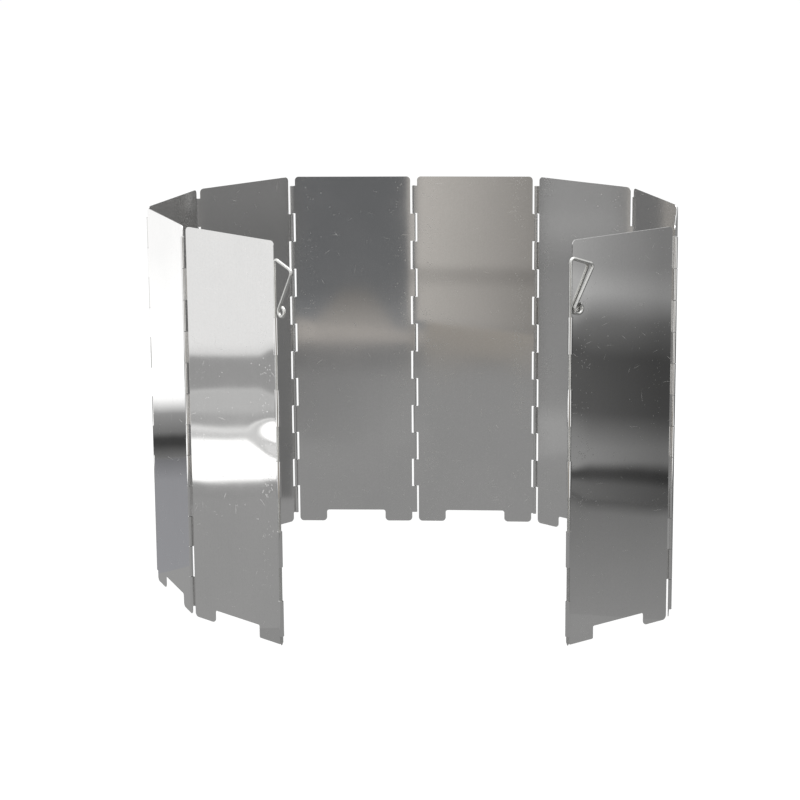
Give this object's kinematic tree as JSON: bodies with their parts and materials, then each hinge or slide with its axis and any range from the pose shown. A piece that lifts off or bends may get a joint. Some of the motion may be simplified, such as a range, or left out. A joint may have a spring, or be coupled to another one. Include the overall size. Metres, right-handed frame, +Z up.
{
  "type": "stove windscreen",
  "caption": "Folding aluminium windscreen for a camp stove: tall plates hinged on rolled knuckles and pins, standing as an open C, with a wire ground peg on each free edge.",
  "frame": {"origin": "middle of the bounding box, on the ground plane under the plates' feet", "axes": "+Z up along the hinge pins, -Y out of the open front of the C, +X to the right as seen from the front"},
  "size_m": [0.3288, 0.2872, 0.24],
  "materials": {
    "rolled_aluminium": "semi-gloss rolled sheet with fine scratches",
    "steel_wire": "bright drawn steel wire"
  },
  "bodies": {
    "plate_5": {"plate_5": "rolled_aluminium", "hinge_pin_4": "steel_wire", "hinge_pin_5": "steel_wire"},
    "plate_4": {"plate_4": "rolled_aluminium", "hinge_pin_3": "steel_wire"},
    "plate_3": {"plate_3": "rolled_aluminium", "hinge_pin_2": "steel_wire"},
    "plate_2": {"plate_2": "rolled_aluminium", "hinge_pin_1": "steel_wire"},
    "plate_1": {"plate_1": "rolled_aluminium"},
    "plate_6": {"plate_6": "rolled_aluminium", "hinge_pin_6": "steel_wire"},
    "plate_7": {"plate_7": "rolled_aluminium", "hinge_pin_7": "steel_wire"},
    "plate_8": {"plate_8": "rolled_aluminium", "hinge_pin_8": "steel_wire"},
    "plate_9": {"plate_9": "rolled_aluminium", "hinge_pin_9": "steel_wire"},
    "plate_10": {"plate_10": "rolled_aluminium"},
    "ground_peg_left": {"ground_peg_left": "steel_wire"},
    "ground_peg_right": {"ground_peg_right": "steel_wire"}
  },
  "joints": [
    {"name": "fold", "type": "hinge", "parent": "plate_5", "child": "plate_6", "pos_m": [0.00236, 0.14114, 0], "axis": [0, 0, 1], "range_deg": [0, 179.69]},
    {"name": "hinge_4", "type": "hinge", "parent": "plate_5", "child": "plate_4", "pos_m": [-0.08003, 0.14243, 0], "axis": [0, 0, 1], "range_deg": [0, 131.44]},
    {"name": "hinge_3", "type": "hinge", "parent": "plate_4", "child": "plate_3", "pos_m": [-0.13961, 0.0855, 0], "axis": [0, 0, 1], "range_deg": [-204.82, 0]},
    {"name": "hinge_2", "type": "hinge", "parent": "plate_3", "child": "plate_2", "pos_m": [-0.16329, 0.00658, 0], "axis": [0, 0, 1], "range_deg": [0, 139.65]},
    {"name": "hinge_1", "type": "hinge", "parent": "plate_2", "child": "plate_1", "pos_m": [-0.13564, -0.07105, 0], "axis": [0, 0, 1], "range_deg": [-199.81, 0]},
    {"name": "hinge_6", "type": "hinge", "parent": "plate_6", "child": "plate_7", "pos_m": [0.08443, 0.13381, 0], "axis": [0, 0, -1], "range_deg": [0, 138.26]},
    {"name": "hinge_7", "type": "hinge", "parent": "plate_7", "child": "plate_8", "pos_m": [0.14489, 0.07783, 0], "axis": [0, 0, -1], "range_deg": [-209.47, 0]},
    {"name": "hinge_8", "type": "hinge", "parent": "plate_8", "child": "plate_9", "pos_m": [0.16329, -0.00249, 0], "axis": [0, 0, -1], "range_deg": [0, 156.56]},
    {"name": "hinge_9", "type": "hinge", "parent": "plate_9", "child": "plate_10", "pos_m": [0.15424, -0.0844, 0], "axis": [0, 0, -1], "range_deg": [-219.88, 0]},
    {"name": "ground_peg_left_slide", "type": "slide", "parent": "plate_1", "child": "ground_peg_left", "axis": [0, 0, -1], "range_m": [0, 0.03]},
    {"name": "ground_peg_right_slide", "type": "slide", "parent": "plate_10", "child": "ground_peg_right", "axis": [0, 0, -1], "range_m": [0, 0.03]}
  ],
  "couplings": [
    {"joint": "hinge_4", "follows": "fold", "ratio": 0.73142},
    {"joint": "hinge_3", "follows": "fold", "ratio": -1.1398},
    {"joint": "hinge_2", "follows": "fold", "ratio": 0.7771},
    {"joint": "hinge_1", "follows": "fold", "ratio": -1.1119},
    {"joint": "hinge_6", "follows": "fold", "ratio": 0.7694},
    {"joint": "hinge_7", "follows": "fold", "ratio": -1.1657},
    {"joint": "hinge_8", "follows": "fold", "ratio": 0.87121},
    {"joint": "hinge_9", "follows": "fold", "ratio": -1.2236}
  ]
}
